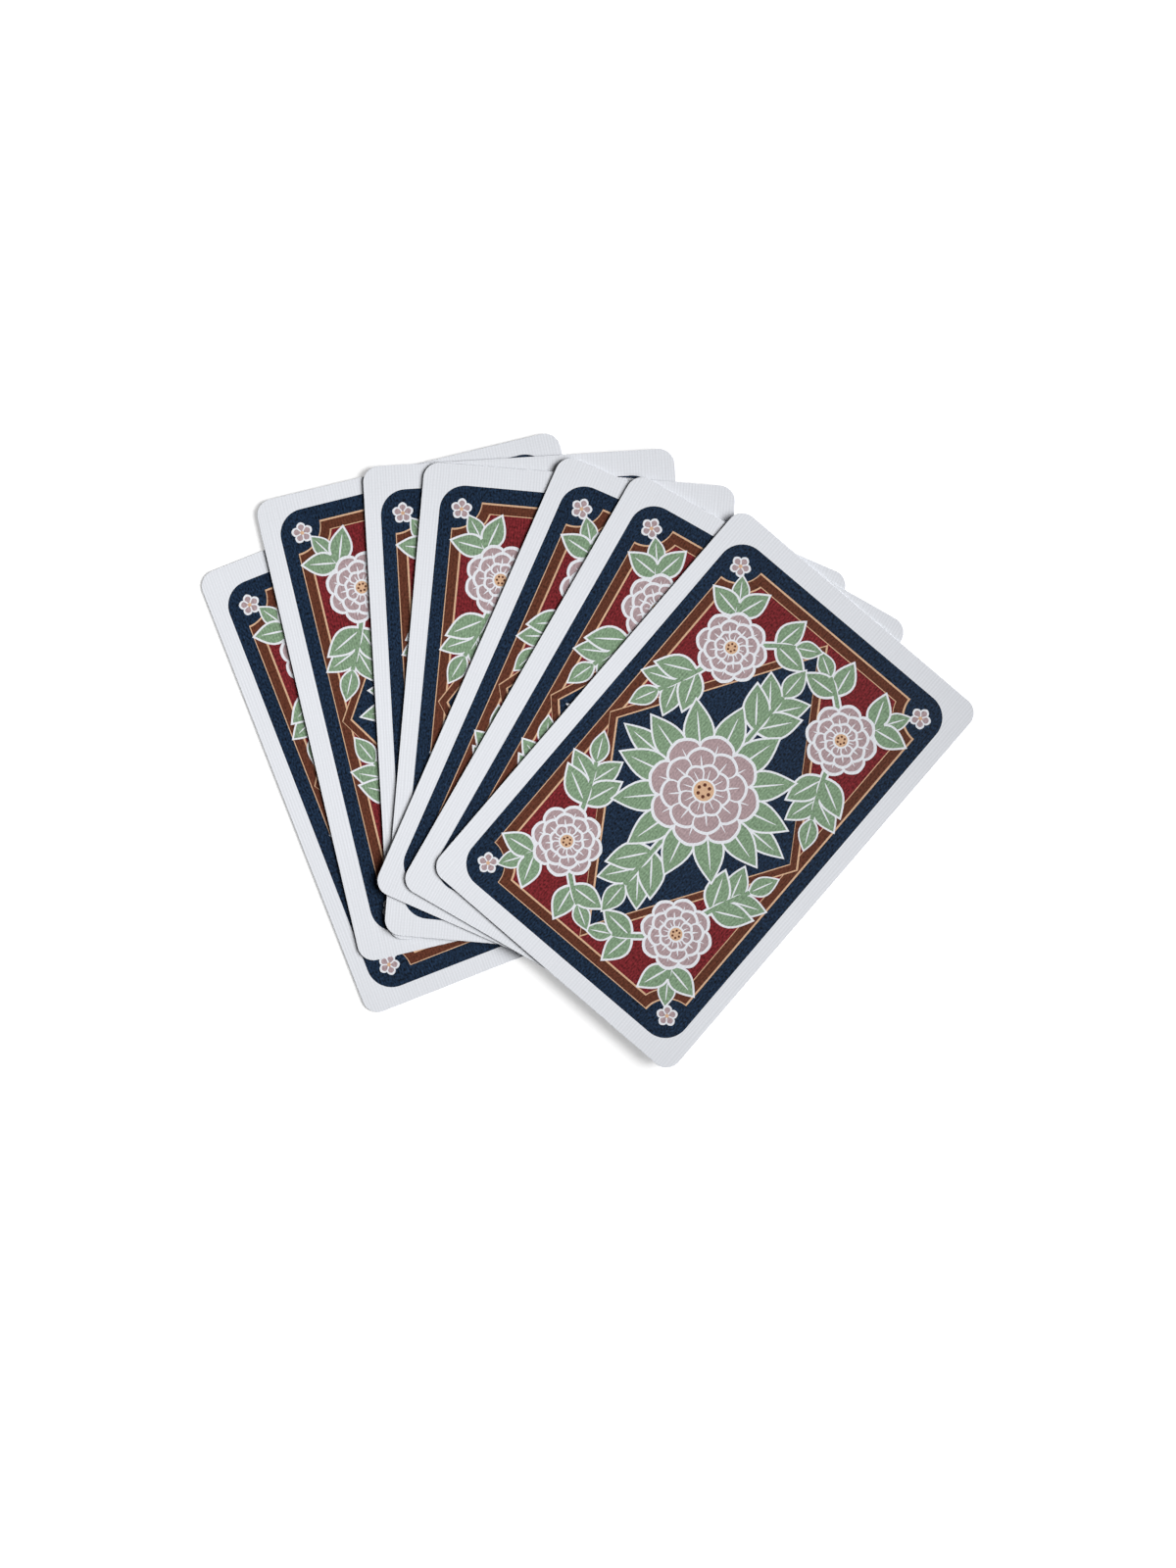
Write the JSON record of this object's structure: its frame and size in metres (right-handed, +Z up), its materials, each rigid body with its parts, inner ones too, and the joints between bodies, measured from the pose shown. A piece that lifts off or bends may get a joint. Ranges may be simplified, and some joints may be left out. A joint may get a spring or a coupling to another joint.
{
  "type": "playing card fan",
  "caption": "Hand of playing cards laid face down in a fan: flat cards with rounded corners, each swivelling on the one beneath it, from a squared packet to a wide spread.",
  "frame": {"origin": "on the table, under the centre of the fan's box", "axes": "+Z up through the stacked cards, towards their printed backs; +X along the fan's longer side, towards the top card; +Y away from the end where the fan is pinched"},
  "size_m": [0.143, 0.1172, 0.0025],
  "materials": {
    "card_stock": "varnished white card stock with a fine linen embossing, printed on both sides"
  },
  "bodies": {
    "bottom_card": {"bottom_card": "card_stock"},
    "second_card": {"second_card": "card_stock"},
    "third_card": {"third_card": "card_stock"},
    "fourth_card": {"fourth_card": "card_stock"},
    "fifth_card": {"fifth_card": "card_stock"},
    "sixth_card": {"sixth_card": "card_stock"},
    "top_card": {"top_card": "card_stock"}
  },
  "joints": [
    {"name": "second_card_swivel", "type": "hinge", "parent": "bottom_card", "child": "second_card", "pos_m": [0.02848, -0.03555, 0.00036], "axis": [0, 0, -1], "range_deg": [-8.2, 16.8]},
    {"name": "third_card_swivel", "type": "hinge", "parent": "second_card", "child": "third_card", "pos_m": [-0.014, -0.06666, 0.00072], "axis": [0, 0, -1], "range_deg": [-10, 15]},
    {"name": "fourth_card_swivel", "type": "hinge", "parent": "third_card", "child": "fourth_card", "pos_m": [-0.02873, -0.02844, 0.00108], "axis": [0, 0, -1], "range_deg": [-8.2, 16.8]},
    {"name": "fifth_card_swivel", "type": "hinge", "parent": "fourth_card", "child": "fifth_card", "pos_m": [-0.01277, -0.02379, 0.00144], "axis": [0, 0, -1], "range_deg": [-18.7, 6.3]},
    {"name": "sixth_card_swivel", "type": "hinge", "parent": "fifth_card", "child": "sixth_card", "pos_m": [-0.02952, -0.07213, 0.0018], "axis": [0, 0, -1], "range_deg": [-6.2, 18.8]},
    {"name": "top_card_swivel", "type": "hinge", "parent": "sixth_card", "child": "top_card", "pos_m": [-0.01568, -0.05298, 0.00216], "axis": [0, 0, -1], "range_deg": [-10.9, 14.1]}
  ]
}
